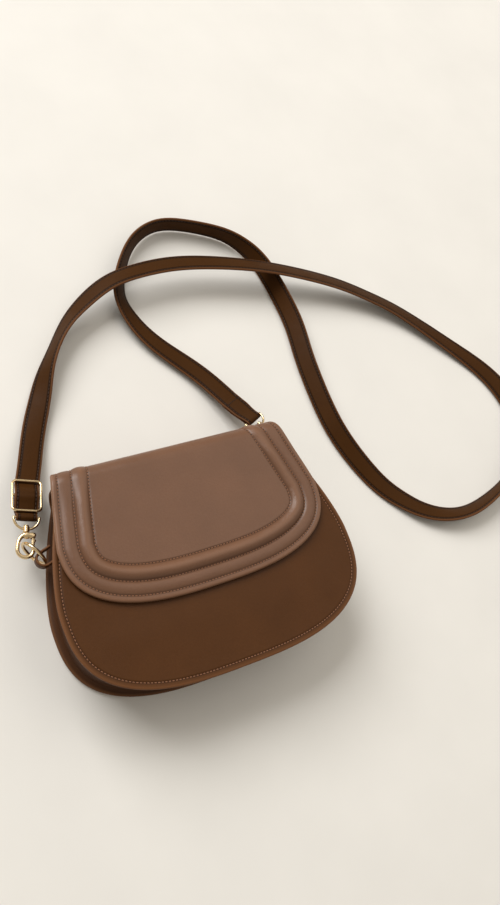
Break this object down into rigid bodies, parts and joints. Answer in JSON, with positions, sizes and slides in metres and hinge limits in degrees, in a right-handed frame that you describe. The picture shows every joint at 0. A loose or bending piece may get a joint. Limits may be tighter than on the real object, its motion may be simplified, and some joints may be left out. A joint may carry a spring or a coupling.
{
  "type": "crossbody bag",
  "caption": "Small leather crossbody bag with a rounded padded flap, lying on its back, its narrow buckled strap clipped to side rings and laid out in loops.",
  "frame": {"origin": "middle of the back panel's outer face, the face it lies on", "axes": "+Z out of the front, away from the face it lies on; +Y to the fold over the top; +X to the right as the front is looked at"},
  "size_m": [0.5048, 0.3921, 0.063],
  "materials": {
    "leather": "satin, fine grain",
    "strap_leather": "satin",
    "lining": "woven cotton",
    "board": "matte",
    "pale_gold": "polished pale gold",
    "steel": "zinc plated",
    "tape": "woven"
  },
  "bodies": {
    "bag": {"back_panel": "leather", "front_panel": "leather", "gusset": "leather", "back_board": "board", "front_board": "board", "back_lining": "lining", "front_lining": "lining", "gusset_lining": "lining", "zip_pouch": "lining", "slip_pocket": "lining", "zip_tape": "tape", "zip_teeth": "pale_gold", "snap_socket": "pale_gold", "snap_washer": "steel", "left_tab": "leather", "right_tab": "leather", "left_eye": "pale_gold", "right_eye": "pale_gold", "slider": "pale_gold", "strap_left_end": "strap_leather", "strap_right_end": "strap_leather", "strap": "strap_leather"},
    "flap": {"flap": "leather", "flap_lining": "lining", "snap_stud": "pale_gold"},
    "left_ring": {"left_ring": "pale_gold"},
    "right_ring": {"right_ring": "pale_gold"},
    "left_hook": {"left_hook": "pale_gold", "left_gate_pin": "pale_gold"},
    "right_hook": {"right_hook": "pale_gold", "right_gate_pin": "pale_gold"},
    "left_gate": {"left_gate": "pale_gold"},
    "right_gate": {"right_gate": "pale_gold"},
    "zip_slider": {"zip_slider": "pale_gold"},
    "zip_pull": {"zip_pull": "pale_gold"}
  },
  "joints": [
    {"name": "flap_hinge", "type": "hinge", "parent": "bag", "child": "flap", "pos_m": [0, 0.0875, 0.026], "axis": [-1, 0, 0], "range_deg": [0, 100]},
    {"name": "zip_slide", "type": "slide", "parent": "bag", "child": "zip_slider", "axis": [1, 0, 0], "range_m": [0, 0.096]},
    {"name": "zip_pull_swing", "type": "hinge", "parent": "zip_slider", "child": "zip_pull", "pos_m": [-0.0482, 0.04, 0.0105], "axis": [0, 1, 0], "range_deg": [-150, 0]},
    {"name": "left_ring_swing", "type": "hinge", "parent": "bag", "child": "left_ring", "pos_m": [-0.10712, 0.036, 0.0265], "axis": [0, 0, 1], "range_deg": [-4, 5]},
    {"name": "left_hook_swivel", "type": "hinge", "parent": "bag", "child": "left_hook", "pos_m": [-0.11331, 0.05798, 0.02628], "axis": [-0.3256, -0.9455, 0], "range_deg": [-10, 10]},
    {"name": "left_gate_hinge", "type": "hinge", "parent": "left_hook", "child": "left_gate", "pos_m": [-0.10913, 0.05421, 0.02628], "axis": [0, 0, 1], "range_deg": [-12, 0], "stiffness_Nm_per_rad": 0.002, "springref_deg": 5.73},
    {"name": "right_ring_swing", "type": "hinge", "parent": "bag", "child": "right_ring", "pos_m": [0.09649, 0.0635, 0.0265], "axis": [0, 0, 1], "range_deg": [0, 6]},
    {"name": "right_hook_swivel", "type": "hinge", "parent": "bag", "child": "right_hook", "pos_m": [0.10007, 0.0937, 0.02148], "axis": [0.3808, -0.8715, 0.309], "range_deg": [-10, 10]},
    {"name": "right_gate_hinge", "type": "hinge", "parent": "right_hook", "child": "right_gate", "pos_m": [0.10565, 0.09385, 0.02216], "axis": [-0.1237, 0.2832, 0.9511], "range_deg": [-12, 0], "stiffness_Nm_per_rad": 0.002, "springref_deg": 5.73}
  ]
}
